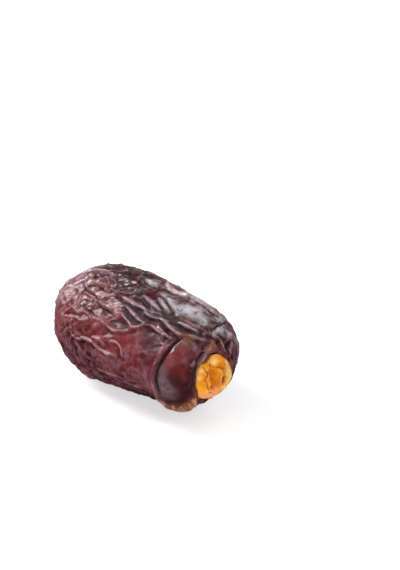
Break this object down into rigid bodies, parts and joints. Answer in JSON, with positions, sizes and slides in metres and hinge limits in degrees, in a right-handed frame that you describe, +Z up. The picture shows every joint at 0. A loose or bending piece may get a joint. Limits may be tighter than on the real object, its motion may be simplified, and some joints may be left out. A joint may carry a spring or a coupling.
{
  "type": "dried date",
  "caption": "Whole dried date lying on its side: a blunt oval fruit with folded, wrinkled skin and a small lobed calyx cap at the stem end.",
  "frame": {"origin": "on the flat spot that the date rests on, under the middle of the fruit", "axes": "+X along the fruit's long axis towards the stem end and its calyx cap, +Z up from the surface it lies on, -Y towards the side that the picture shows"},
  "size_m": [0.0469, 0.0277, 0.0271],
  "materials": {
    "date_skin": "wrinkled dried fruit skin, maroon brown, waxy gloss with a lilac bloom on the folds",
    "calyx": "amber yellow dried calyx, waxy, fibrous at its edge"
  },
  "bodies": {
    "root": {"date_fruit": "date_skin", "calyx_cap": "calyx"}
  },
  "joints": []
}
